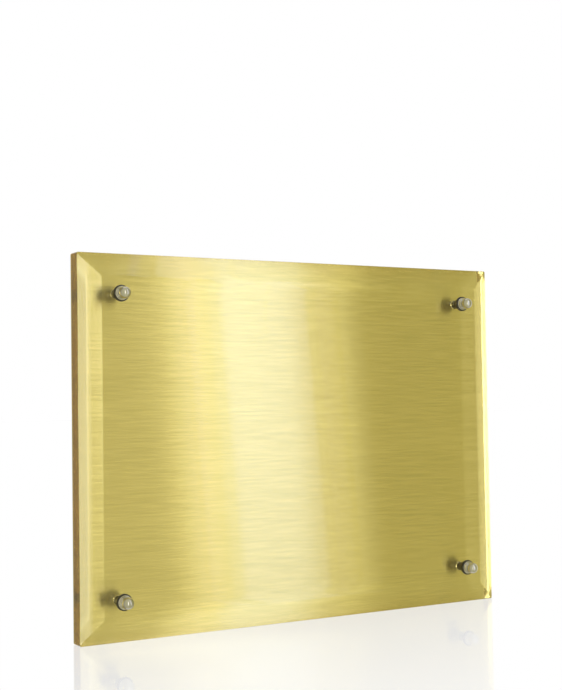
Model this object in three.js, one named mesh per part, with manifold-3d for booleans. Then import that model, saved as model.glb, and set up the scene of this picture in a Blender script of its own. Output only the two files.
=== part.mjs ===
// A desk plaque used as a paperweight: a clear block with bevelled front edges stands on its lower
// edge, backed by a brushed brass plate of the same outline. A fixing in each corner clamps the two:
// a threaded stud with a washer and hexagon nut behind, and a polished trim ring and a ball cap in
// front. A dark shouldered bush lines the block's hole, and its flange seats the trim ring.
//
// Millimetres. +X runs to the right, +Y to the back and +Z up. The origin is the middle of the flat
// lower edge that the block stands on.

import * as THREE from 'three';
import { ConvexGeometry } from 'three/addons/geometries/ConvexGeometry.js';
import { mergeVertices } from 'three/addons/utils/BufferGeometryUtils.js';
import Module from 'manifold-3d';

const wasm = await Module();
wasm.setup();

// Driving dimensions.

const WIDTH = 203.2;            // block and plate, side to side
const HEIGHT = 152.4;           // block and plate, bottom to top
const BLOCK_THICKNESS = 8.8;    // front face to back face
const BEVEL_WIDTH = 9.1;        // bevel, measured along the front face
const BEVEL_DEPTH = 3.1;        // bevel, measured into the thickness
const PLATE_THICKNESS = 1.0;
const CORNER_BREAK = 0.4;       // small chamfer up the block's and plate's four upright corners

const FIXING_INSET_X = 17.0;    // stud axis from the left and right edges
const FIXING_INSET_Z = 16.0;    // stud axis from the bottom and top edges

const STUD_RADIUS = 1.5;        // M3 thread, outside
const HOLE_CLEARANCE = 0.3;     // radial, stud to the holes in the plate, trim ring, washer and nut
const STUD_END_CHAMFER = 0.3;
const STUD_PAST_NUT = 0.6;

const BUSH_FLANGE_RADIUS = 3.3;
const BUSH_FLANGE_THICKNESS = 1.1;
const BUSH_SLEEVE_RADIUS = 1.9;
const BUSH_BORE_RADIUS = 1.6;
const BUSH_FIT = 0.04;          // radial, sleeve to the block's hole
const BUSH_END_GAP = 0.4;       // end of the sleeve to the plate
const TRIM_RING_RADIUS = 2.8;
const TRIM_RING_THICKNESS = 0.5;
const TRIM_RING_ROUND = 0.2;    // edge radius of the ring

const CAP_COLLAR_RADIUS = 2.5;
const CAP_COLLAR_THICKNESS = 0.9;
const CAP_COLLAR_CHAMFER = 0.2;
const CAP_NECK_RADIUS = 2.0;
const CAP_NECK_LENGTH = 0.35;
const CAP_BALL_RADIUS = 2.4;
const CAP_HOLE_CLEARANCE = 0.15; // radial, stud to the cap's blind threaded hole
const CAP_HOLE_END_GAP = 0.3;    // end of the stud to the end of that hole

const REAR_WASHER_RADIUS = 3.5;
const REAR_WASHER_THICKNESS = 0.5;
const NUT_ACROSS_FLATS = 5.5;
const NUT_THICKNESS = 2.4;
const NUT_CHAMFER = 0.35;

const ROUND_STEPS = 24;         // sides of a turned piece
const HOLE_STEPS = 24;          // sides of a drilled hole
const BALL_STEPS = 9;           // steps along the ball's profile
const EDGE_STEPS = 3;           // steps round a small rounded edge
const CUT_MARGIN = 1.0;         // how far a cutting tool runs past the piece that it cuts

// Places that follow from them.

const EDGE_DEPTH = BLOCK_THICKNESS - BEVEL_DEPTH;
const BLOCK_BACK = EDGE_DEPTH / 2;
const BLOCK_FRONT = BLOCK_BACK - BLOCK_THICKNESS;
const BEVEL_START = BLOCK_BACK - EDGE_DEPTH;
const PLATE_BACK = BLOCK_BACK + PLATE_THICKNESS;
const REAR_WASHER_BACK = PLATE_BACK + REAR_WASHER_THICKNESS;
const NUT_BACK = REAR_WASHER_BACK + NUT_THICKNESS;
const BUSH_END = BLOCK_BACK - BUSH_END_GAP;
const BUSH_FACE = BLOCK_FRONT - BUSH_FLANGE_THICKNESS;
const TRIM_RING_FACE = BUSH_FACE - TRIM_RING_THICKNESS;
const CAP_COLLAR_FACE = TRIM_RING_FACE - CAP_COLLAR_THICKNESS;
const CAP_NECK_FACE = CAP_COLLAR_FACE - CAP_NECK_LENGTH;
const CAP_BALL_CENTRE = CAP_NECK_FACE - Math.sqrt(CAP_BALL_RADIUS ** 2 - CAP_NECK_RADIUS ** 2);
const STUD_FRONT = CAP_BALL_CENTRE + CAP_HOLE_END_GAP;
const HOLE_RADIUS = STUD_RADIUS + HOLE_CLEARANCE;
const BLOCK_HOLE_RADIUS = BUSH_SLEEVE_RADIUS + BUSH_FIT;

const CORNERS = [
  { name: 'top_left', side: -1, level: 1 },
  { name: 'top_right', side: 1, level: 1 },
  { name: 'bottom_left', side: -1, level: -1 },
  { name: 'bottom_right', side: 1, level: -1 },
];

function fixingX(corner) {
  return corner.side * (WIDTH / 2 - FIXING_INSET_X);
}

function fixingZ(corner) {
  return HEIGHT / 2 + corner.level * (HEIGHT / 2 - FIXING_INSET_Z);
}

// Materials.

const materials = {
  acrylic: new THREE.MeshStandardMaterial({
    color: 0xe9edd8, roughness: 0.03, metalness: 0, transparent: true, opacity: 0.3,
  }),
  brass: new THREE.MeshStandardMaterial({ color: 0xc9b25a, roughness: 0.3, metalness: 1 }),
  nickel: new THREE.MeshStandardMaterial({ color: 0xc9c7ba, roughness: 0.12, metalness: 1 }),
  darkBush: new THREE.MeshStandardMaterial({ color: 0x2e2b22, roughness: 0.55, metalness: 0 }),
  steel: new THREE.MeshStandardMaterial({ color: 0xa4a5a3, roughness: 0.35, metalness: 1 }),
};

// Solid helpers: three.js geometry to manifold-3d and back.

function toSolid(geometry) {
  const bare = geometry.clone();
  bare.deleteAttribute('normal');
  bare.deleteAttribute('uv');
  const merged = mergeVertices(bare);
  return new wasm.Manifold(new wasm.Mesh({
    numProp: 3,
    vertProperties: new Float32Array(merged.attributes.position.array),
    triVerts: new Uint32Array(merged.index.array),
  }));
}

function toGeometry(solid) {
  const { vertProperties, triVerts } = solid.getMesh();
  const geometry = new THREE.BufferGeometry();
  geometry.setAttribute('position', new THREE.BufferAttribute(vertProperties, 3));
  geometry.setIndex(new THREE.BufferAttribute(triVerts, 1));
  geometry.computeVertexNormals();
  return geometry;
}

// A turned piece on the Y axis. The profile is a list of [radius, y] pairs from the back, where y is
// highest, to the front. LatheGeometry faces outwards when y rises, so the list is reversed.
function turned(profile) {
  const points = profile.map(([radius, y]) => new THREE.Vector2(radius, y)).reverse();
  return new THREE.LatheGeometry(points, ROUND_STEPS);
}

// A ring on the Y axis with a round hole: the outside profile, closed through the hole's wall.
function turnedRing(outside, holeRadius) {
  const highest = outside[0][1];
  const lowest = outside[outside.length - 1][1];
  return turned([[holeRadius, highest], ...outside, [holeRadius, lowest], [holeRadius, highest]]);
}

// Points along an arc, angles in degrees from +radius towards -y.
function arc(centreRadius, centreY, radius, fromAngle, toAngle, steps) {
  return Array.from({ length: steps + 1 }, (_, i) => {
    const angle = THREE.MathUtils.degToRad(fromAngle + (toAngle - fromAngle) * i / steps);
    return [centreRadius + radius * Math.cos(angle), centreY - radius * Math.sin(angle)];
  });
}

function drill(solid, radius, x, z, fromY, toY) {
  const length = toY - fromY + 2 * CUT_MARGIN;
  const tool = new THREE.CylinderGeometry(radius, radius, length, HOLE_STEPS);
  tool.translate(x, (fromY + toY) / 2, z);
  return solid.subtract(toSolid(tool));
}

function drillCorners(solid, radius, fromY, toY) {
  return CORNERS.reduce(
    (drilled, corner) => drill(drilled, radius, fixingX(corner), fixingZ(corner), fromY, toY),
    solid);
}

// The outline of a rectangle inset from the block's outline, with its corners chamfered.
function outlinePoints(inset, y) {
  const halfWidth = WIDTH / 2 - inset;
  const halfHeight = HEIGHT / 2 - inset;
  const points = [];
  for (const [side, level] of [[-1, -1], [-1, 1], [1, 1], [1, -1]]) {
    for (const [cutX, cutZ] of [[CORNER_BREAK, 0], [0, CORNER_BREAK]]) {
      points.push(new THREE.Vector3(
        side * (halfWidth - cutX), y, HEIGHT / 2 + level * (halfHeight - cutZ)));
    }
  }
  return points;
}

// Sub-parts.

function clearBlock() {
  const body = new ConvexGeometry([
    ...outlinePoints(0, BLOCK_BACK),
    ...outlinePoints(0, BEVEL_START),
    ...outlinePoints(BEVEL_WIDTH, BLOCK_FRONT),
  ]);
  return toGeometry(drillCorners(toSolid(body), BLOCK_HOLE_RADIUS, BLOCK_FRONT, BLOCK_BACK));
}

function brassPlate() {
  const body = new ConvexGeometry([
    ...outlinePoints(0, BLOCK_BACK),
    ...outlinePoints(0, PLATE_BACK),
  ]);
  return toGeometry(drillCorners(toSolid(body), HOLE_RADIUS, BLOCK_BACK, PLATE_BACK));
}

function stud() {
  const back = NUT_BACK + STUD_PAST_NUT;
  return turned([
    [0, back],
    [STUD_RADIUS - STUD_END_CHAMFER, back],
    [STUD_RADIUS, back - STUD_END_CHAMFER],
    [STUD_RADIUS, STUD_FRONT + STUD_END_CHAMFER],
    [STUD_RADIUS - STUD_END_CHAMFER, STUD_FRONT],
    [0, STUD_FRONT],
  ]);
}

// A sleeve through the block's hole, with a flange on the front face.
function shoulderedBush() {
  return turnedRing([
    [BUSH_SLEEVE_RADIUS, BUSH_END],
    [BUSH_SLEEVE_RADIUS, BLOCK_FRONT],
    [BUSH_FLANGE_RADIUS, BLOCK_FRONT],
    [BUSH_FLANGE_RADIUS, BUSH_FACE],
  ], BUSH_BORE_RADIUS);
}

function trimRing() {
  const flat = TRIM_RING_RADIUS - TRIM_RING_ROUND;
  return turnedRing([
    ...arc(flat, BUSH_FACE - TRIM_RING_ROUND, TRIM_RING_ROUND, -90, 0, EDGE_STEPS),
    ...arc(flat, TRIM_RING_FACE + TRIM_RING_ROUND, TRIM_RING_ROUND, 0, 90, EDGE_STEPS),
  ], HOLE_RADIUS);
}

function ballCap() {
  const neckAngle = THREE.MathUtils.radToDeg(Math.acos(CAP_NECK_RADIUS / CAP_BALL_RADIUS));
  const ball = arc(0, CAP_BALL_CENTRE, CAP_BALL_RADIUS, -neckAngle, 90, BALL_STEPS).slice(0, -1);
  const holeRadius = STUD_RADIUS + CAP_HOLE_CLEARANCE;
  return turned([
    [0, CAP_BALL_CENTRE],
    [holeRadius, CAP_BALL_CENTRE],
    [holeRadius, TRIM_RING_FACE],
    [CAP_COLLAR_RADIUS - CAP_COLLAR_CHAMFER, TRIM_RING_FACE],
    [CAP_COLLAR_RADIUS, TRIM_RING_FACE - CAP_COLLAR_CHAMFER],
    [CAP_COLLAR_RADIUS, CAP_COLLAR_FACE + CAP_COLLAR_CHAMFER],
    [CAP_COLLAR_RADIUS - CAP_COLLAR_CHAMFER, CAP_COLLAR_FACE],
    [CAP_NECK_RADIUS, CAP_COLLAR_FACE],
    ...ball,
    [0, CAP_BALL_CENTRE - CAP_BALL_RADIUS],
  ]);
}

function rearWasher() {
  return turnedRing([
    [REAR_WASHER_RADIUS, REAR_WASHER_BACK],
    [REAR_WASHER_RADIUS, PLATE_BACK],
  ], HOLE_RADIUS);
}

function rearNut() {
  const cornerRadius = NUT_ACROSS_FLATS / 2 / Math.cos(Math.PI / 6);
  const middle = (REAR_WASHER_BACK + NUT_BACK) / 2;
  const hexagon = new THREE.CylinderGeometry(cornerRadius, cornerRadius, NUT_THICKNESS, 6);
  hexagon.translate(0, middle, 0);
  const roundedBody = turned([
    [0, NUT_BACK],
    [cornerRadius - NUT_CHAMFER, NUT_BACK],
    [cornerRadius + NUT_CHAMFER, NUT_BACK - NUT_CHAMFER],
    [cornerRadius + NUT_CHAMFER, REAR_WASHER_BACK - CUT_MARGIN],
    [0, REAR_WASHER_BACK - CUT_MARGIN],
  ]);
  const body = toSolid(hexagon).intersect(toSolid(roundedBody));
  return toGeometry(drill(body, HOLE_RADIUS, 0, 0, REAR_WASHER_BACK, NUT_BACK));
}

// Assembly.

function named(name, geometry, material) {
  const mesh = new THREE.Mesh(geometry, material);
  mesh.name = name;
  return mesh;
}

function fixing(corner) {
  const group = new THREE.Group();
  group.position.set(fixingX(corner), 0, fixingZ(corner));
  group.add(
    named(`stud_${corner.name}`, stud(), materials.steel),
    named(`front_bush_${corner.name}`, shoulderedBush(), materials.darkBush),
    named(`trim_ring_${corner.name}`, trimRing(), materials.nickel),
    named(`ball_cap_${corner.name}`, ballCap(), materials.nickel),
    named(`rear_washer_${corner.name}`, rearWasher(), materials.steel),
    named(`rear_nut_${corner.name}`, rearNut(), materials.steel),
  );
  return group;
}

const paperweight = new THREE.Group();
paperweight.add(
  named('clear_block', clearBlock(), materials.acrylic),
  named('brass_plate', brassPlate(), materials.brass),
  ...CORNERS.map(fixing),
);

export default paperweight;
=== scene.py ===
"""A desk plaque used as a paperweight: a bevelled clear block with a brushed brass plate clamped to
its back, in each corner, by a stud with a washer and a nut behind and a dark bush, a trim ring and a
ball cap in front.

Metres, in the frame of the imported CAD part: +X right, +Y back, +Z up.
"""

import math

import bmesh
import bpy
from mathutils import Matrix, Vector


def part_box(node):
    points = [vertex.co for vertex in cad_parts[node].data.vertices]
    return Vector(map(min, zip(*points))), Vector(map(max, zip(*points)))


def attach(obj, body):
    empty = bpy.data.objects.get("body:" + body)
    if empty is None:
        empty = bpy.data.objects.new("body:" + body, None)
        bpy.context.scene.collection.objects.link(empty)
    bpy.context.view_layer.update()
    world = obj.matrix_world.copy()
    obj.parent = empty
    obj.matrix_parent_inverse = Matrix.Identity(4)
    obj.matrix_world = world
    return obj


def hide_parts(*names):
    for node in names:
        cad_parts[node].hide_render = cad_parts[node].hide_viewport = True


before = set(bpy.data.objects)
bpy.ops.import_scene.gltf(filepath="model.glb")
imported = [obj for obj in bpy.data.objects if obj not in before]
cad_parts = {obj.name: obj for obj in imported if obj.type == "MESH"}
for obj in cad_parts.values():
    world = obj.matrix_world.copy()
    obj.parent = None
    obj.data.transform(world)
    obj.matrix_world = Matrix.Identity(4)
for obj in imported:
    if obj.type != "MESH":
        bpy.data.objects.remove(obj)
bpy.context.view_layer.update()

MM = 0.001
CORNERS = ("top_left", "top_right", "bottom_left", "bottom_right")

# The block and the plate.

BEVEL_WIDTH = 9.1 * MM
BEVEL_DEPTH = 3.1 * MM
CORNER_BREAK = 0.4 * MM
BLOCK_EDGE_ROUND = 0.15 * MM
PLATE_EDGE_ROUND = 0.15 * MM
BONDED_DEPTH = 0.05 * MM        # the block's back face lies this far inside the plate: no air gap
HOLE_RADIUS = 1.8 * MM          # in the plate, the trim rings and the back washers
SLEEVE_RADIUS = 1.9 * MM        # outside of the dark bush's sleeve, which lines the block's hole
SLEEVE_SQUEEZE = 0.02 * MM      # the sleeve is a tight fit, so no air is left round it
HOLE_SIDES = 64
CUT_MARGIN = 1.0 * MM           # how far a drill bit runs past the piece
SHARP_ANGLE = math.radians(10)  # edges that meet at a larger angle are rounded
FLAT_ANGLE = math.radians(6.5)  # faces that meet at a larger angle keep a crisp edge

# Turned pieces.

TURNED_SIDES = 72
SEAT_GAP = 0.02 * MM            # between the block and the flange, and between the ring and the cap
THREAD_PITCH = 0.5 * MM
THREAD_DEPTH = 0.3 * MM
THREAD_SIDES = 32
THREAD_STEPS = 6                # steps along one turn of the thread
THREAD_CRISP_ANGLE = math.radians(50)
TURNED_CRISP_ANGLE = math.radians(24)
BUSH_BORE_RADIUS = 1.6 * MM
BUSH_FLANGE_ROUND = 0.15 * MM
TRIM_RING_ROUND = 0.2 * MM
CAP_COLLAR_DEPTH = 0.9 * MM
CAP_COLLAR_ROUND = 0.2 * MM
CAP_NECK_RADIUS = 2.0 * MM
CAP_BALL_RADIUS = 2.4 * MM
CAP_BORE_RADIUS = 1.65 * MM
BALL_STEPS = 28
ROUND_STEPS = 5                 # steps round a small rounded edge
WASHER_ROUND = 0.08 * MM
NUT_FLATS_RADIUS = 2.75 * MM    # centre to a flat
NUT_ROUND_OFF = 0.35 * MM       # how much of the corners the cone at the open end takes
NUT_CONE_SLOPE = 1.7            # gain in radius along the cone's depth
NUT_COUNTERSINK = 0.25 * MM
NUT_HOLE_RADIUS = 1.55 * MM
NUT_SIDES = 96
NUT_CRISP_ANGLE = math.radians(20)

# The studio.

VIEW_LENS = 65.88
VIEW_SENSOR = 36.0
VIEW_PLACE = Vector((-281.5, -463.85, 93.9)) * MM
VIEW_YAW = math.radians(-30.487)
VIEW_PITCH = math.radians(2.454)
VIEW_ROLL = math.radians(0.870)
STUDIO_LEFT = (0.62, 0.60, 0.38)   # in front of the object, to the left
STUDIO_RIGHT = (0.49, 0.47, 0.24)
BEHIND_LEFT = (0.3, 0.3, 0.3)
BEHIND_RIGHT = (1.0, 1.0, 1.0)
FRONT_TURN = (0.40, 0.60)       # parts of the sky's X over which the front turns from left to right
BEHIND_TURN = (-0.30, -0.15)
BACK_TURN = (0.0, 0.2)          # parts of the sky's Y over which the front turns into the back

WINDOW_Y = -287.75 * MM
WINDOW_BOTTOM = -400 * MM
WINDOW_HEIGHT = 1100 * MM
WINDOW_LEVEL = 128 * MM         # height at which the window's left and right are measured
WINDOW_LEAN = math.radians(-5)
WINDOW_SOFT_BOTTOM = 0.5        # share of the height
WINDOW_SOFT_TOP = 0.1

FLAG_CENTRE = Vector((121, -100, 80)) * MM
FLAG_WIDTH = 16 * MM
FLAG_HEIGHT = 400 * MM

FAR_REACH = 900 * MM            # from the origin to a far card
FAR_SOFT_EDGE = 0.1             # share of the card

FLOOR_REACH = 6.0
FLOOR_LEVEL = -0.02 * MM        # just under the object
MIRROR_NEAR = 0.3               # share of the floor that mirrors, close to the object
MIRROR_FAR = 0.13


# Mesh helpers.

def object_from(name, mesh_tool):
    """A scene object made from a bmesh, which is then freed."""
    mesh = bpy.data.meshes.new(name)
    mesh_tool.to_mesh(mesh)
    mesh_tool.free()
    piece = bpy.data.objects.new(name, mesh)
    bpy.context.scene.collection.objects.link(piece)
    return piece


def apply_modifiers(piece):
    """Turns the piece's modifiers into its own mesh."""
    graph = bpy.context.evaluated_depsgraph_get()
    made = bpy.data.meshes.new_from_object(piece.evaluated_get(graph))
    piece.modifiers.clear()
    piece.data = made


def smooth_but_crisp(piece, angle):
    """Smooth shading, with a crisp edge where two faces meet at more than the angle."""
    mesh = piece.data
    mesh.polygons.foreach_set("use_smooth", [True] * len(mesh.polygons))
    mesh.set_sharp_from_angle(angle=angle)


def outline(low, high, inset, y):
    """The corners of an upright rectangle with its four corners chamfered."""
    left = low.x + inset
    right = high.x - inset
    bottom = low.z + inset
    top = high.z - inset
    cut = CORNER_BREAK
    return [
        Vector((left + cut, y, bottom)),
        Vector((right - cut, y, bottom)),
        Vector((right, y, bottom + cut)),
        Vector((right, y, top - cut)),
        Vector((right - cut, y, top)),
        Vector((left + cut, y, top)),
        Vector((left, y, top - cut)),
        Vector((left, y, bottom + cut)),
    ]


def stacked_slab(name, outlines):
    """A closed solid through a stack of outlines, from the front one to the back one."""
    tool = bmesh.new()
    rows = [[tool.verts.new(point) for point in points] for points in outlines]
    tool.faces.new(rows[0])
    tool.faces.new(reversed(rows[-1]))
    for front, back in zip(rows, rows[1:]):
        for i in range(len(front)):
            j = (i + 1) % len(front)
            tool.faces.new((front[j], front[i], back[i], back[j]))
    bmesh.ops.recalc_face_normals(tool, faces=tool.faces)
    return object_from(name, tool)


def round_edges(piece, radius, segments):
    modifier = piece.modifiers.new("edges", "BEVEL")
    modifier.width = radius
    modifier.segments = segments
    modifier.limit_method = "ANGLE"
    modifier.angle_limit = SHARP_ANGLE
    apply_modifiers(piece)


def drill(piece, radius, places, front, back):
    """Cuts a round hole through the piece along Y at each (x, z) place."""
    tool = bmesh.new()
    for x, z in places:
        turn = Matrix.Translation((x, (front + back) / 2, z)) @ Matrix.Rotation(math.pi / 2, 4, "X")
        bmesh.ops.create_cone(
            tool, cap_ends=True, segments=HOLE_SIDES, radius1=radius, radius2=radius,
            depth=back - front + 2 * CUT_MARGIN, matrix=turn)
    bits = object_from("drill_bits", tool)
    modifier = piece.modifiers.new("holes", "BOOLEAN")
    modifier.object = bits
    modifier.operation = "DIFFERENCE"
    modifier.solver = "EXACT"
    apply_modifiers(piece)
    bpy.data.objects.remove(bits)


def turned(name, profile, x, z, sides=TURNED_SIDES):
    """A closed solid turned about the line through (x, z) along Y, from (radius, y) pairs that run
    from the back to the front. A radius of zero is a point on the axis. A profile that starts and
    ends away from the axis is closed into a ring."""
    tool = bmesh.new()
    rows = [turned_row(tool, radius, y, x, z, sides) for radius, y in profile]
    pairs = list(zip(rows, rows[1:]))
    if profile[0][0] > 0:
        pairs.append((rows[-1], rows[0]))
    for back, front in pairs:
        join_rows(tool, back, front, sides)
    bmesh.ops.recalc_face_normals(tool, faces=tool.faces)
    piece = object_from(name, tool)
    smooth_but_crisp(piece, TURNED_CRISP_ANGLE)
    return piece


def turned_row(tool, radius, y, x, z, sides):
    if radius == 0:
        return [tool.verts.new((x, y, z))]
    angles = [2 * math.pi * i / sides for i in range(sides)]
    return [tool.verts.new((x + radius * math.cos(a), y, z + radius * math.sin(a))) for a in angles]


def join_rows(tool, back, front, sides):
    for i in range(sides):
        j = (i + 1) % sides
        if len(back) == 1:
            tool.faces.new((back[0], front[j], front[i]))
        elif len(front) == 1:
            tool.faces.new((back[i], back[j], front[0]))
        else:
            tool.faces.new((back[i], back[j], front[j], front[i]))


def arc(centre_radius, centre_y, radius, start, end, steps):
    """(radius, y) pairs along an arc, in degrees from outwards towards the front."""
    angles = [math.radians(start + (end - start) * i / steps) for i in range(steps + 1)]
    return [
        (centre_radius + radius * math.cos(a), centre_y - radius * math.sin(a)) for a in angles]


def rounded_band(radius, back, front, edge):
    """The outside of a disc with rounded edges, as (radius, y) pairs from the back."""
    flat = radius - edge
    back_round = arc(flat, back - edge, edge, -90, 0, ROUND_STEPS)
    front_round = arc(flat, front + edge, edge, 0, 90, ROUND_STEPS)
    return back_round + front_round


# Node helpers.

COLOUR_A = 6                    # sockets of a Mix node that mixes colours
COLOUR_B = 7
MIXED_COLOUR = 2


def new_material(name):
    material = bpy.data.materials.new(name)
    material.use_nodes = True
    tree = material.node_tree
    return material, tree, tree.nodes["Principled BSDF"]


def add_node(tree, kind, **settings):
    node = tree.nodes.new(kind)
    for key, value in settings.items():
        setattr(node, key, value)
    return node


def stretched_noise(tree, scale, detail, stretch):
    """Noise over the object's own coordinates, in metres, stretched along the axes."""
    place = add_node(tree, "ShaderNodeTexCoord")
    mapping = add_node(tree, "ShaderNodeMapping")
    mapping.inputs["Scale"].default_value = stretch
    noise = add_node(tree, "ShaderNodeTexNoise")
    noise.inputs["Scale"].default_value = scale
    noise.inputs["Detail"].default_value = detail
    tree.links.new(place.outputs["Object"], mapping.inputs["Vector"])
    tree.links.new(mapping.outputs["Vector"], noise.inputs["Vector"])
    return noise.outputs["Fac"]


def remap(tree, value, low, high, to_low, to_high):
    node = add_node(tree, "ShaderNodeMapRange")
    node.inputs["From Min"].default_value = low
    node.inputs["From Max"].default_value = high
    node.inputs["To Min"].default_value = to_low
    node.inputs["To Max"].default_value = to_high
    tree.links.new(value, node.inputs["Value"])
    return node.outputs["Result"]


def two_tone(tree, value, dark, light, low=0.35, high=0.65):
    ramp = add_node(tree, "ShaderNodeValToRGB")
    ramp.color_ramp.elements[0].position = low
    ramp.color_ramp.elements[0].color = (*dark, 1)
    ramp.color_ramp.elements[1].position = high
    ramp.color_ramp.elements[1].color = (*light, 1)
    tree.links.new(value, ramp.inputs["Fac"])
    return ramp.outputs["Color"]


def bump(tree, shader, height, strength, distance):
    node = add_node(tree, "ShaderNodeBump")
    node.inputs["Strength"].default_value = strength
    node.inputs["Distance"].default_value = distance
    tree.links.new(height, node.inputs["Height"])
    tree.links.new(node.outputs["Normal"], shader.inputs["Normal"])


# Materials.

def clear_acrylic():
    """Polished cast acrylic, with faint handling marks."""
    material, tree, shader = new_material("clear_acrylic")
    shader.inputs["Base Color"].default_value = (1.0, 1.0, 0.99, 1)
    shader.inputs["Transmission Weight"].default_value = 1
    shader.inputs["IOR"].default_value = 1.49
    marks = stretched_noise(tree, 60, 4, (1, 1, 1))
    roughness = remap(tree, marks, 0.55, 0.8, 0.0, 0.02)
    tree.links.new(roughness, shader.inputs["Roughness"])
    return material


def brushed_brass():
    """Brass brushed from side to side, which draws reflections out into upright streaks."""
    material, tree, shader = new_material("brushed_brass")
    shader.inputs["Metallic"].default_value = 0.83
    shader.inputs["Anisotropic"].default_value = 1.0
    grain = stretched_noise(tree, 1.0, 5, (60, 60, 2600))
    drift = stretched_noise(tree, 1.0, 3, (6, 6, 120))
    fine = two_tone(tree, grain, (0.80, 0.69, 0.265), (0.92, 0.79, 0.335))
    broad = two_tone(tree, drift, (0.97, 0.97, 0.96), (1, 1, 1))
    tint = add_node(tree, "ShaderNodeMix", data_type="RGBA", blend_type="MULTIPLY")
    tint.inputs["Factor"].default_value = 1
    tree.links.new(fine, tint.inputs[COLOUR_A])
    tree.links.new(broad, tint.inputs[COLOUR_B])
    tree.links.new(tint.outputs[MIXED_COLOUR], shader.inputs["Base Color"])
    tree.links.new(remap(tree, grain, 0.3, 0.7, 0.155, 0.18), shader.inputs["Roughness"])
    bump(tree, shader, grain, 0.1, 0.01 * MM)
    tangent = add_node(tree, "ShaderNodeTangent", direction_type="UV_MAP", uv_map="upright")
    tree.links.new(tangent.outputs["Tangent"], shader.inputs["Tangent"])
    return material


def polished_nickel():
    """Bright nickel plate with faint turning lines."""
    material, tree, shader = new_material("polished_nickel")
    shader.inputs["Metallic"].default_value = 1
    lines = stretched_noise(tree, 1.0, 3, (300, 5000, 300))
    colour = two_tone(tree, lines, (0.52, 0.50, 0.46), (0.66, 0.64, 0.60))
    tree.links.new(colour, shader.inputs["Base Color"])
    tree.links.new(remap(tree, lines, 0.3, 0.7, 0.08, 0.16), shader.inputs["Roughness"])
    return material


def dark_bush():
    """Near-black moulded plastic with a low sheen."""
    material, tree, shader = new_material("dark_bush")
    mottle = stretched_noise(tree, 900, 3, (1, 1, 1))
    colour = two_tone(tree, mottle, (0.022, 0.018, 0.014), (0.05, 0.044, 0.034))
    tree.links.new(colour, shader.inputs["Base Color"])
    tree.links.new(remap(tree, mottle, 0.3, 0.7, 0.38, 0.5), shader.inputs["Roughness"])
    return material


def plain_steel():
    """Zinc-plated steel with a fine mottle."""
    material, tree, shader = new_material("plain_steel")
    shader.inputs["Metallic"].default_value = 1
    mottle = stretched_noise(tree, 1500, 4, (1, 1, 1))
    colour = two_tone(tree, mottle, (0.50, 0.50, 0.48), (0.66, 0.67, 0.66))
    tree.links.new(colour, shader.inputs["Base Color"])
    tree.links.new(remap(tree, mottle, 0.3, 0.7, 0.24, 0.4), shader.inputs["Roughness"])
    bump(tree, shader, mottle, 0.2, 0.01 * MM)
    return material


# Pieces.

def fixing_axis(corner):
    low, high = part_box(f"stud_{corner}")
    return (low.x + high.x) / 2, (low.z + high.z) / 2


def place(piece, body, slot, material, *nodes):
    """Gives a piece its material and says what it rides on and stands for."""
    piece.data.materials.clear()
    piece.data.materials.append(material)
    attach(piece, body)
    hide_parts(*nodes)


def build_block(material):
    low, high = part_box("clear_block")
    back = high.y + BONDED_DEPTH
    block = stacked_slab("block", [
        outline(low, high, BEVEL_WIDTH, low.y),
        outline(low, high, 0, low.y + BEVEL_DEPTH),
        outline(low, high, 0, back),
    ])
    round_edges(block, BLOCK_EDGE_ROUND, 2)
    places = [fixing_axis(corner) for corner in CORNERS]
    drill(block, SLEEVE_RADIUS - SLEEVE_SQUEEZE, places, low.y, back)
    smooth_but_crisp(block, FLAT_ANGLE)
    place(block, "plaque", "clear_acrylic", material, "clear_block")


def map_upright(mesh):
    """A map whose first direction runs up the plate, across the brushing."""
    layer = mesh.uv_layers.new(name="upright")
    for loop in mesh.loops:
        point = mesh.vertices[loop.vertex_index].co
        layer.data[loop.index].uv = (point.z, point.x + point.y)


def build_plate(material):
    low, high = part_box("brass_plate")
    plate = stacked_slab("plate", [
        outline(low, high, 0, low.y),
        outline(low, high, 0, high.y),
    ])
    round_edges(plate, PLATE_EDGE_ROUND, 2)
    places = [fixing_axis(corner) for corner in CORNERS]
    drill(plate, HOLE_RADIUS, places, low.y, high.y)
    smooth_but_crisp(plate, FLAT_ANGLE)
    map_upright(plate.data)
    place(plate, "plaque", "brushed_brass", material, "brass_plate")


def thread_depth_at(turn):
    """How far below the crest the thread's surface is, over one turn from 0 to 1."""
    flank = abs(2 * (turn % 1) - 1)
    return THREAD_DEPTH * min(1, max(0, 1.25 * flank - 0.125))


def thread_rows(tool, x, z, radius, back, front):
    """Rows of points along a screw thread, which runs out to a chamfer at both ends."""
    steps = round((back - front) / THREAD_PITCH * THREAD_STEPS)
    rows = []
    for k in range(steps + 1):
        y = back - (back - front) * k / steps
        end = min(back - y, y - front)
        limit = radius - THREAD_DEPTH + end
        row = []
        for i in range(THREAD_SIDES):
            angle = 2 * math.pi * i / THREAD_SIDES
            crest = radius - thread_depth_at(y / THREAD_PITCH + i / THREAD_SIDES)
            at = min(crest, limit)
            row.append(tool.verts.new((x + at * math.cos(angle), y, z + at * math.sin(angle))))
        rows.append(row)
    return rows


def build_stud(corner, material):
    low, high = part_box(f"stud_{corner}")
    x, z = fixing_axis(corner)
    tool = bmesh.new()
    rows = thread_rows(tool, x, z, (high.x - low.x) / 2, high.y, low.y)
    back_centre = [tool.verts.new((x, high.y, z))]
    front_centre = [tool.verts.new((x, low.y, z))]
    rows = [back_centre, *rows, front_centre]
    for back, front in zip(rows, rows[1:]):
        join_rows(tool, back, front, THREAD_SIDES)
    bmesh.ops.recalc_face_normals(tool, faces=tool.faces)
    stud = object_from(f"threaded_stud_{corner}", tool)
    smooth_but_crisp(stud, THREAD_CRISP_ANGLE)
    place(stud, "plaque", "plain_steel", material, f"stud_{corner}")


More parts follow.
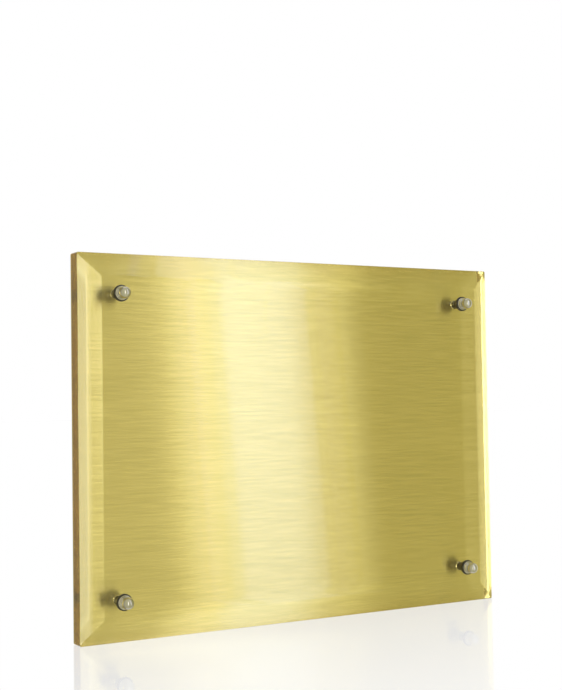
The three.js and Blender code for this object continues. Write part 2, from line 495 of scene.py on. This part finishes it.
def build_front_bush(corner, material):
    """The sleeve that lines the block's hole, with the flange that the trim ring sits on."""
    low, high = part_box(f"front_bush_{corner}")
    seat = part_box("clear_block")[0].y - SEAT_GAP
    x, z = fixing_axis(corner)
    flange = rounded_band((high.x - low.x) / 2, seat, low.y, BUSH_FLANGE_ROUND)
    profile = [
        (BUSH_BORE_RADIUS, high.y),
        (SLEEVE_RADIUS, high.y),
        (SLEEVE_RADIUS, seat),
        *flange,
        (BUSH_BORE_RADIUS, low.y),
    ]
    bush = turned(f"shouldered_bush_{corner}", profile, x, z)
    place(bush, "plaque", "dark_bush", material, f"front_bush_{corner}")


def build_trim_ring(corner, material):
    low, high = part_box(f"trim_ring_{corner}")
    x, z = fixing_axis(corner)
    band = rounded_band((high.x - low.x) / 2, high.y, low.y, TRIM_RING_ROUND)
    profile = [(HOLE_RADIUS, high.y), *band, (HOLE_RADIUS, low.y)]
    ring = turned(f"polished_ring_{corner}", profile, x, z)
    place(ring, f"trim_ring_{corner}", "polished_nickel", material, f"trim_ring_{corner}")


def build_ball_cap(corner, material):
    """A collar, a short neck and a ball, with a blind bore that ends at the ball's centre."""
    low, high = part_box(f"ball_cap_{corner}")
    x, z = fixing_axis(corner)
    collar_back = high.y - SEAT_GAP
    collar_front = high.y - CAP_COLLAR_DEPTH
    ball_centre = low.y + CAP_BALL_RADIUS
    neck_angle = math.degrees(math.acos(CAP_NECK_RADIUS / CAP_BALL_RADIUS))
    collar = rounded_band((high.x - low.x) / 2, collar_back, collar_front, CAP_COLLAR_ROUND)
    ball = arc(0, ball_centre, CAP_BALL_RADIUS, -neck_angle, 90, BALL_STEPS)
    profile = [
        (0, ball_centre),
        (CAP_BORE_RADIUS, ball_centre),
        (CAP_BORE_RADIUS, collar_back),
        *collar,
        (CAP_NECK_RADIUS, collar_front),
        *ball[:-1],
        (0, low.y),
    ]
    cap = turned(f"ball_nut_{corner}", profile, x, z)
    place(cap, f"ball_cap_{corner}", "polished_nickel", material, f"ball_cap_{corner}")


def build_rear_washer(corner, material):
    low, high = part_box(f"rear_washer_{corner}")
    x, z = fixing_axis(corner)
    band = rounded_band((high.x - low.x) / 2, high.y, low.y, WASHER_ROUND)
    profile = [(HOLE_RADIUS, high.y), *band, (HOLE_RADIUS, low.y)]
    washer = turned(f"back_washer_{corner}", profile, x, z)
    place(washer, "plaque", "plain_steel", material, f"rear_washer_{corner}")


def build_rear_nut(corner, material):
    """A hexagon nut, its corners rounded off at the open end, with a countersunk hole."""
    low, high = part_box(f"rear_nut_{corner}")
    x, z = fixing_axis(corner)
    tool = bmesh.new()
    levels = (low.y, high.y - NUT_ROUND_OFF, high.y)
    rows = [nut_row(tool, x, z, y, high.y) for y in levels]
    hole = (
        (NUT_HOLE_RADIUS + NUT_COUNTERSINK, high.y),
        (NUT_HOLE_RADIUS, high.y - NUT_COUNTERSINK),
        (NUT_HOLE_RADIUS, low.y),
    )
    rows += [turned_row(tool, radius, y, x, z, NUT_SIDES) for radius, y in hole]
    for a, b in zip(rows, [*rows[1:], rows[0]]):
        join_rows(tool, a, b, NUT_SIDES)
    bmesh.ops.recalc_face_normals(tool, faces=tool.faces)
    nut = object_from(f"hexagon_nut_{corner}", tool)
    smooth_but_crisp(nut, NUT_CRISP_ANGLE)
    place(nut, "plaque", "plain_steel", material, f"rear_nut_{corner}")


def nut_row(tool, x, z, y, back):
    """A hexagon at one level, cut back to a cone near the back."""
    corner_radius = NUT_FLATS_RADIUS / math.cos(math.pi / 6)
    limit = corner_radius - NUT_ROUND_OFF + (back - y) * NUT_CONE_SLOPE
    row = []
    for i in range(NUT_SIDES):
        angle = 2 * math.pi * i / NUT_SIDES
        from_flat = (angle + math.pi / 6) % (math.pi / 3) - math.pi / 6
        at = min(NUT_FLATS_RADIUS / math.cos(from_flat), limit)
        row.append(tool.verts.new((x + at * math.cos(angle), y, z + at * math.sin(angle))))
    return row


def build_fixing(corner, nickel, dark, steel):
    build_stud(corner, steel)
    build_front_bush(corner, dark)
    build_trim_ring(corner, nickel)
    build_ball_cap(corner, nickel)
    build_rear_washer(corner, steel)
    build_rear_nut(corner, steel)


# Studio.

def build_camera():
    data = bpy.data.cameras.new("camera")
    data.lens = VIEW_LENS
    data.sensor_width = VIEW_SENSOR
    data.clip_start = 0.01
    data.clip_end = 20
    camera = bpy.data.objects.new("camera", data)
    bpy.context.scene.collection.objects.link(camera)
    turn = (
        Matrix.Rotation(VIEW_YAW, 4, "Z")
        @ Matrix.Rotation(VIEW_PITCH, 4, "X")
        @ Matrix.Rotation(VIEW_ROLL, 4, "Y")
        @ Matrix.Rotation(math.pi / 2, 4, "X")
    )
    camera.matrix_world = Matrix.Translation(VIEW_PLACE) @ turn
    bpy.context.scene.camera = camera


def build_world():
    """White behind the object, and a dim warm studio in front of it for what it reflects."""
    world = bpy.data.worlds.new("studio")
    bpy.context.scene.world = world
    world.use_nodes = True
    tree = world.node_tree
    tree.nodes.clear()
    direction = add_node(tree, "ShaderNodeTexCoord")
    axes = add_node(tree, "ShaderNodeSeparateXYZ")
    tree.links.new(direction.outputs["Generated"], axes.inputs["Vector"])
    front = two_tone(tree, axes.outputs["X"], STUDIO_LEFT, STUDIO_RIGHT, *FRONT_TURN)
    turned = remap(tree, axes.outputs["X"], *BEHIND_TURN, 0.0, 1.0)
    back = two_tone(tree, turned, BEHIND_LEFT, BEHIND_RIGHT, 0.0, 1.0)
    behind = add_node(tree, "ShaderNodeMix", data_type="RGBA")
    tree.links.new(back, behind.inputs[COLOUR_B])
    turned_back = remap(tree, axes.outputs["Y"], *BACK_TURN, 0.0, 1.0)
    tree.links.new(turned_back, behind.inputs["Factor"])
    tree.links.new(front, behind.inputs[COLOUR_A])
    path = add_node(tree, "ShaderNodeLightPath")
    seen = add_node(tree, "ShaderNodeMix", data_type="RGBA")
    seen.inputs[COLOUR_B].default_value = (1, 1, 1, 1)
    tree.links.new(path.outputs["Is Camera Ray"], seen.inputs["Factor"])
    tree.links.new(behind.outputs[MIXED_COLOUR], seen.inputs[COLOUR_A])
    background = add_node(tree, "ShaderNodeBackground")
    output = add_node(tree, "ShaderNodeOutputWorld")
    tree.links.new(seen.outputs[MIXED_COLOUR], background.inputs["Color"])
    tree.links.new(background.outputs["Background"], output.inputs["Surface"])


def card_mesh(name, width, height):
    """An upright card in the XZ plane, with a map from 0 to 1 along and up it."""
    mesh = bpy.data.meshes.new(name)
    x = width / 2
    z = height / 2
    mesh.from_pydata([(-x, 0, -z), (x, 0, -z), (x, 0, z), (-x, 0, z)], [], [(0, 1, 2, 3)])
    layer = mesh.uv_layers.new(name="card")
    for corner, uv in zip(layer.data, ((0, 0), (1, 0), (1, 1), (0, 1))):
        corner.uv = uv
    return mesh


def add_card(name, width, height, centre, turn, material):
    card = bpy.data.objects.new(name, card_mesh(name, width, height))
    bpy.context.scene.collection.objects.link(card)
    card.data.materials.append(material)
    card.matrix_world = Matrix.Translation(centre) @ turn
    card.visible_camera = False
    card.visible_shadow = False
    return card


def soft_edge(tree, value, dark_at, light_at):
    """A smooth step from 0 to 1 between two places, in whichever order they lie."""
    node = add_node(tree, "ShaderNodeMapRange", interpolation_type="SMOOTHSTEP")
    node.inputs["From Min"].default_value = dark_at
    node.inputs["From Max"].default_value = light_at
    tree.links.new(value, node.inputs["Value"])
    return node.outputs["Result"]


def multiply(tree, first, second):
    node = add_node(tree, "ShaderNodeMath", operation="MULTIPLY")
    tree.links.new(first, node.inputs[0])
    tree.links.new(second, node.inputs[1])
    return node.outputs[0]


def card_light(name, colour, soft_left, soft_right, soft_bottom, soft_top):
    """Light with soft edges, each given as a share of the card, that lets light behind it pass."""
    material = bpy.data.materials.new(name)
    material.use_nodes = True
    tree = material.node_tree
    tree.nodes.clear()
    place_node = add_node(tree, "ShaderNodeTexCoord")
    axes = add_node(tree, "ShaderNodeSeparateXYZ")
    tree.links.new(place_node.outputs["UV"], axes.inputs["Vector"])
    left = soft_edge(tree, axes.outputs["X"], 0, soft_left)
    right = soft_edge(tree, axes.outputs["X"], 1, 1 - soft_right)
    bottom = soft_edge(tree, axes.outputs["Y"], 0, soft_bottom)
    top = soft_edge(tree, axes.outputs["Y"], 1, 1 - soft_top)
    level = multiply(tree, multiply(tree, left, right), multiply(tree, bottom, top))
    light = add_node(tree, "ShaderNodeEmission")
    light.inputs["Color"].default_value = (*colour, 1)
    tree.links.new(level, light.inputs["Strength"])
    clear = add_node(tree, "ShaderNodeBsdfTransparent")
    both = add_node(tree, "ShaderNodeAddShader")
    output = add_node(tree, "ShaderNodeOutputMaterial")
    tree.links.new(light.outputs[0], both.inputs[0])
    tree.links.new(clear.outputs[0], both.inputs[1])
    tree.links.new(both.outputs[0], output.inputs["Surface"])
    return material


def add_tall_card(name, left, right, soft_left, soft_right, colour):
    """One tall light in the plane of the window in front of the object, leaning a little. Its
    places along X are in millimetres."""
    width = (right - left) * MM
    level = WINDOW_BOTTOM + WINDOW_HEIGHT / 2
    lean = Matrix.Rotation(WINDOW_LEAN, 4, "Y")
    centre = Vector(((left + right) / 2 * MM, WINDOW_Y, WINDOW_LEVEL))
    centre += lean @ Vector((0, 0, level - WINDOW_LEVEL))
    left_share = soft_left * MM / width
    right_share = soft_right * MM / width
    material = card_light(
        name, colour, left_share, right_share, WINDOW_SOFT_BOTTOM, WINDOW_SOFT_TOP)
    add_card(name, width, WINDOW_HEIGHT, centre, lean, material)


def build_window():
    """The tall light whose reflection fills the middle of the brass: a glow, a bright core and a
    narrow strip on each side of it."""
    add_tall_card("window_glow", 62, 228, 28, 30, (0.80, 0.80, 0.66))
    add_tall_card("window_core", 106, 180, 9, 7, (0.42, 0.56, 1.35))
    add_tall_card("window_left_strip", 82, 99, 7, 7, (0.1, 0.1, 0.8))
    add_tall_card("window_right_strip", 182, 204, 5, 9, (0.05, 0.05, 0.25))


def add_far_card(name, azimuth, width, level, height, colour):
    """An upright card at FAR_REACH, facing the object, at an angle from straight in front."""
    angle = math.radians(azimuth)
    centre = Vector((math.sin(angle) * FAR_REACH, -math.cos(angle) * FAR_REACH, level))
    turn = Matrix.Rotation(-angle, 4, "Z")
    material = card_light(
        name, colour, FAR_SOFT_EDGE, FAR_SOFT_EDGE, FAR_SOFT_EDGE, FAR_SOFT_EDGE)
    return add_card(name, width, height, centre, turn, material)


def build_flag():
    """A dim card that keeps the window out of the right-hand bevel."""
    material = bpy.data.materials.new("bevel_flag")
    material.use_nodes = True
    tree = material.node_tree
    tree.nodes.clear()
    light = add_node(tree, "ShaderNodeEmission")
    light.inputs["Color"].default_value = (*STUDIO_RIGHT, 1)
    output = add_node(tree, "ShaderNodeOutputMaterial")
    tree.links.new(light.outputs[0], output.inputs["Surface"])
    flag = add_card(
        "bevel_flag", FLAG_WIDTH, FLAG_HEIGHT, FLAG_CENTRE, Matrix.Identity(4), material)
    flag.visible_glossy = False


def build_soft_boxes():
    """Lights to the sides. The first is seen only in the surface of the block and the nickel, the
    others only through the block."""
    veil = add_far_card("veil_card", -21.5, 180 * MM, 150 * MM, 1300 * MM, (2.5, 2.5, 2.5))
    veil.visible_transmission = False
    side = add_far_card("side_box", -36, 200 * MM, 50 * MM, 520 * MM, (8, 8, 8))
    side.visible_glossy = False
    band = add_far_card("band_card", 50.5, 170 * MM, 50 * MM, 700 * MM, (1.0, 1.05, 1.2))
    band.visible_glossy = False


def floor_material():
    """White, with a soft sheen that mirrors the object close by and fades further off."""
    material = bpy.data.materials.new("white_floor")
    material.use_nodes = True
    tree = material.node_tree
    tree.nodes.clear()
    place_node = add_node(tree, "ShaderNodeTexCoord")
    axes = add_node(tree, "ShaderNodeSeparateXYZ")
    white = add_node(tree, "ShaderNodeEmission")
    gloss = add_node(tree, "ShaderNodeBsdfGlossy")
    gloss.inputs["Color"].default_value = (1, 1, 1, 1)
    gloss.inputs["Roughness"].default_value = 0.03
    mix = add_node(tree, "ShaderNodeMixShader")
    output = add_node(tree, "ShaderNodeOutputMaterial")
    tree.links.new(place_node.outputs["Object"], axes.inputs["Vector"])
    distance = add_node(tree, "ShaderNodeMath", operation="ABSOLUTE")
    tree.links.new(axes.outputs["Y"], distance.inputs[0])
    share = remap(tree, distance.outputs[0], 0.01, 0.15, MIRROR_NEAR, MIRROR_FAR)
    tree.links.new(share, mix.inputs["Fac"])
    tree.links.new(white.outputs[0], mix.inputs[1])
    tree.links.new(gloss.outputs[0], mix.inputs[2])
    tree.links.new(mix.outputs[0], output.inputs["Surface"])
    return material


def build_floor():
    """A wide floor that only the camera sees, so that it adds no light to the object."""
    mesh = bpy.data.meshes.new("floor")
    sides = ((-1, -1), (1, -1), (1, 1), (-1, 1))
    corners = [(x * FLOOR_REACH, y * FLOOR_REACH, FLOOR_LEVEL) for x, y in sides]
    mesh.from_pydata(corners, [], [(0, 1, 2, 3)])
    floor = bpy.data.objects.new("floor", mesh)
    bpy.context.scene.collection.objects.link(floor)
    mesh.materials.append(floor_material())
    floor.visible_glossy = False
    floor.visible_transmission = False
    floor.visible_diffuse = False
    floor.visible_shadow = False


def set_up_render():
    """Plain colours, and enough bounces for light that is caught inside the block."""
    scene = bpy.context.scene
    scene.view_settings.view_transform = "Standard"
    scene.cycles.max_bounces = 32
    scene.cycles.transmission_bounces = 28
    scene.cycles.glossy_bounces = 28
    scene.cycles.blur_glossy = 0.0


build_camera()
build_world()
build_window()
build_flag()
build_soft_boxes()
build_floor()
set_up_render()

build_block(clear_acrylic())
build_plate(brushed_brass())
nickel = polished_nickel()
dark = dark_bush()
steel = plain_steel()
for corner in CORNERS:
    build_fixing(corner, nickel, dark, steel)
